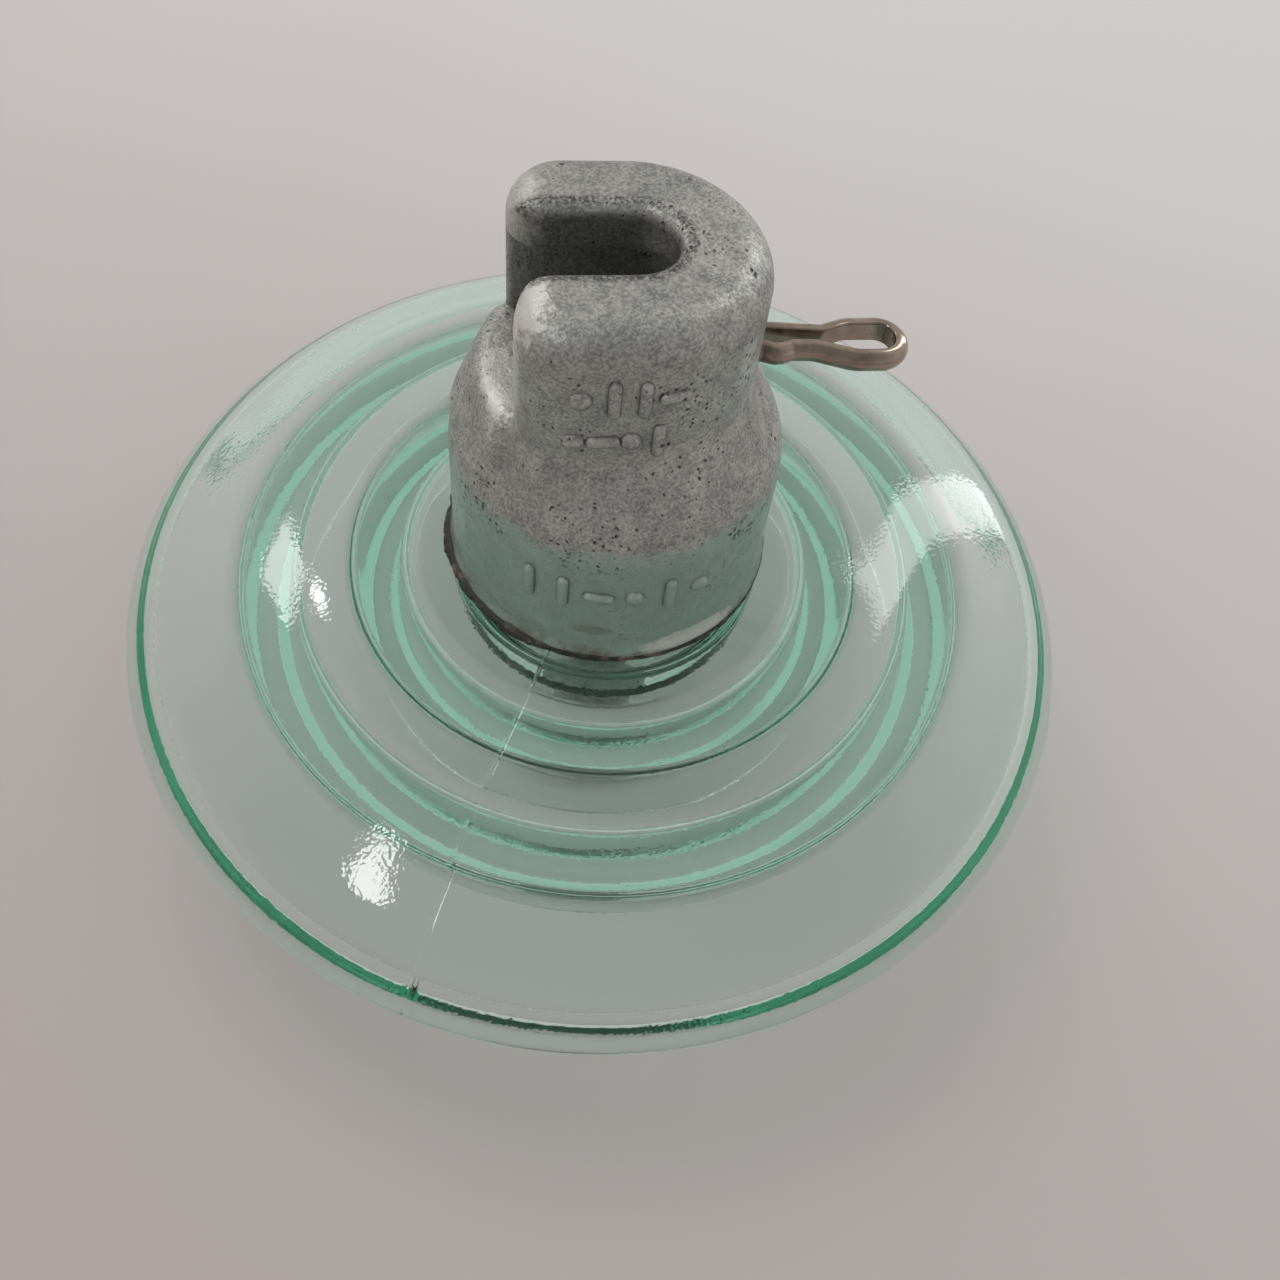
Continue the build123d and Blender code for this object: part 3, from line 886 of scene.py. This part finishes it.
def lamp(name, place, size, power, lean=0.0, shape="ELLIPSE", mirrored=False):
    """Soft box that faces the insulator: it lights surfaces, or shows only as a reflection."""
    light = bpy.data.lights.new(name, "AREA")
    light.shape = shape
    light.size, light.size_y = size
    light.energy = power
    holder = bpy.data.objects.new(name, light)
    bpy.context.scene.collection.objects.link(holder)
    holder.location = place
    holder.rotation_mode = "QUATERNION"
    aimed = (LAMP_TARGET - Vector(place)).to_track_quat("-Z", "Y")
    holder.rotation_quaternion = aimed @ Quaternion((0, 0, 1), math.radians(lean))
    holder.visible_transmission = False
    holder.visible_glossy = mirrored
    holder.visible_diffuse = not mirrored


def build_world(setup):
    """Even light all round; the camera and the glass see the room's tone, and gloss a drape too."""
    world = bpy.data.worlds.new("Studio")
    bpy.context.scene.world = world
    world.use_nodes = True
    tree = world.node_tree
    light = tree.nodes["Background"]
    light.inputs["Strength"].default_value = setup.sky
    light.inputs["Color"].default_value = setup.sky_tone
    path = put(tree, "ShaderNodeLightPath").outputs
    way = put(tree, "ShaderNodeTexCoord").outputs["Generated"]
    nearness = vectors(tree, "DOT_PRODUCT", way, DRAPE_SIDE).outputs["Value"]
    glossy, passing = path["Is Glossy Ray"], path["Is Transmission Ray"]
    reflected = sums(tree, "SUBTRACT", glossy, passing, clamp=True)
    drape = times(tree, rise(tree, nearness, 0.3, 0.95), reflected)
    tone = blend(tree, drape, setup.surround, setup.drape)
    seen = put(tree, "ShaderNodeBackground", {"Color": tone, "Strength": 1.0})
    direct = sums(tree, "MAXIMUM", sums(tree, "MAXIMUM", path["Is Camera Ray"], glossy), passing)
    direct = times(tree, direct, sums(tree, "LESS_THAN", path["Diffuse Depth"], 0.5))
    mix = put(tree, "ShaderNodeMixShader", {0: direct, 1: light.outputs[0], 2: seen.outputs[0]})
    tree.links.new(mix.outputs[0], tree.nodes["World Output"].inputs["Surface"])


def build_camera(setup):
    """Camera above the slot side of the cap."""
    data = bpy.data.cameras.new("Camera")
    data.lens = setup.lens
    data.sensor_width = 36
    data.clip_start = 10 * MM
    camera = bpy.data.objects.new("Camera", data)
    bpy.context.scene.collection.objects.link(camera)
    back = Matrix.Translation((0, 0, setup.distance))
    bearing = Matrix.Rotation(-setup.bearing, 4, "Z")
    tilt = Matrix.Rotation(math.pi / 2 - setup.tilt, 4, "X")
    roll = Matrix.Rotation(setup.roll, 4, "Z")
    camera.matrix_world = Matrix.Translation(setup.aim) @ bearing @ tilt @ roll @ back
    bpy.context.scene.camera = camera


# ================================================================ operators
class INSULATOR_OT_glass_shell(bpy.types.Operator):
    """Build the pressed glass shell from the CAD section, with its mould seams"""

    bl_idname = "insulator.glass_shell"
    bl_label = "Glass shell"

    def execute(self, context):
        build_shell(context.scene.insulator_glass)
        return {"FINISHED"}


class INSULATOR_OT_cap(bpy.types.Operator):
    """Finish the galvanised cap"""

    bl_idname = "insulator.cap"
    bl_label = "Cap"

    def execute(self, context):
        paint("cap", cap_material(context.scene.insulator_casting))
        return {"FINISHED"}


class INSULATOR_OT_marks(bpy.types.Operator):
    """Raise the plain foundry marks on the cap, once the cap has its finish"""

    bl_idname = "insulator.marks"
    bl_label = "Foundry marks"

    def execute(self, context):
        build_marks(context.scene.insulator_casting, frame["nodes"]["cap"].data.materials[0])
        return {"FINISHED"}


class INSULATOR_OT_edge_seal(bpy.types.Operator):
    """Lay the sealing bead round the cap's rim"""

    bl_idname = "insulator.edge_seal"
    bl_label = "Edge seal"

    def execute(self, context):
        build_seal(context.scene.insulator_seal)
        return {"FINISHED"}


class INSULATOR_OT_pin(bpy.types.Operator):
    """Finish the galvanised pin and ball"""

    bl_idname = "insulator.pin"
    bl_label = "Pin"

    def execute(self, context):
        material, *_ = zinc_material("Galvanised forging", context.scene.insulator_casting, MM)
        paint("pin", material)
        return {"FINISHED"}


class INSULATOR_OT_split_pin(bpy.types.Operator):
    """Finish the spring wire split pin"""

    bl_idname = "insulator.split_pin"
    bl_label = "Split pin"

    def execute(self, context):
        paint("split_pin", wire_material(context.scene.insulator_wire))
        return {"FINISHED"}


class INSULATOR_OT_bonding(bpy.types.Operator):
    """Finish the cements, coats and cushions between metal and glass"""

    bl_idname = "insulator.bonding"
    bl_label = "Cements and cushions"

    def execute(self, context):
        cement, bitumen, cork = bonding_materials()
        for node, material in (
            ("cap_cement", cement), ("pin_cement", cement), ("cap_lining", bitumen),
            ("pin_lining", bitumen), ("head_cushion", cork), ("pin_cushion", cork),
        ):
            paint(node, material)
        return {"FINISHED"}


class INSULATOR_OT_stage(bpy.types.Operator):
    """Set the floor, the even sky, the lamps and the camera"""

    bl_idname = "insulator.stage"
    bl_label = "Stage"

    def execute(self, context):
        setup = context.scene.insulator_stage
        build_floor(setup)
        build_world(setup)
        lamp("overhead_box", (-0.45, 0.6, 1.25), (0.9, 0.9), 4.5)
        for row in MIRRORED_LAMPS:
            lamp(*row, mirrored=True)
        build_camera(setup)
        # Light crosses many glass faces on its way through the ribs.
        context.scene.cycles.max_bounces = BOUNCES
        context.scene.cycles.transmission_bounces = BOUNCES
        context.scene.cycles.glossy_bounces = BOUNCES
        context.scene.view_settings.view_transform = "Standard"
        return {"FINISHED"}


class INSULATOR_PT_panel(bpy.types.Panel):
    """Lists the insulator's pieces and their settings"""

    bl_label = "Glass insulator"
    bl_idname = "INSULATOR_PT_panel"
    bl_space_type = "VIEW_3D"
    bl_region_type = "UI"
    bl_category = "Insulator"

    def draw(self, context):
        for operator in OPERATORS:
            self.layout.operator(operator.bl_idname)
        for name, group in SETTINGS.items():
            box = self.layout.box()
            for prop in group.__annotations__:
                box.prop(getattr(context.scene, name), prop)


SETTINGS = {
    "insulator_glass": GlassFinish,
    "insulator_casting": CastingFinish,
    "insulator_seal": SealFinish,
    "insulator_wire": WireFinish,
    "insulator_stage": StageSetup,
}
OPERATORS = (
    INSULATOR_OT_glass_shell,
    INSULATOR_OT_cap,
    INSULATOR_OT_marks,
    INSULATOR_OT_edge_seal,
    INSULATOR_OT_pin,
    INSULATOR_OT_split_pin,
    INSULATOR_OT_bonding,
    INSULATOR_OT_stage,
)


def register():
    """Adds the settings, the operators and the panel."""
    for name, group in SETTINGS.items():
        bpy.utils.register_class(group)
        setattr(bpy.types.Scene, name, PointerProperty(type=group))
    for operator in OPERATORS:
        bpy.utils.register_class(operator)
    bpy.utils.register_class(INSULATOR_PT_panel)


def unregister():
    """Removes what register added, in the opposite order."""
    bpy.utils.unregister_class(INSULATOR_PT_panel)
    for operator in reversed(OPERATORS):
        bpy.utils.unregister_class(operator)
    for name, group in reversed(list(SETTINGS.items())):
        delattr(bpy.types.Scene, name)
        bpy.utils.unregister_class(group)


def main():
    """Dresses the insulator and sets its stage."""
    register()
    bpy.ops.insulator.glass_shell()
    bpy.ops.insulator.cap()
    bpy.ops.insulator.marks()
    bpy.ops.insulator.edge_seal()
    bpy.ops.insulator.pin()
    bpy.ops.insulator.split_pin()
    bpy.ops.insulator.bonding()
    bpy.ops.insulator.stage()


if __name__ == "__main__":
    main()
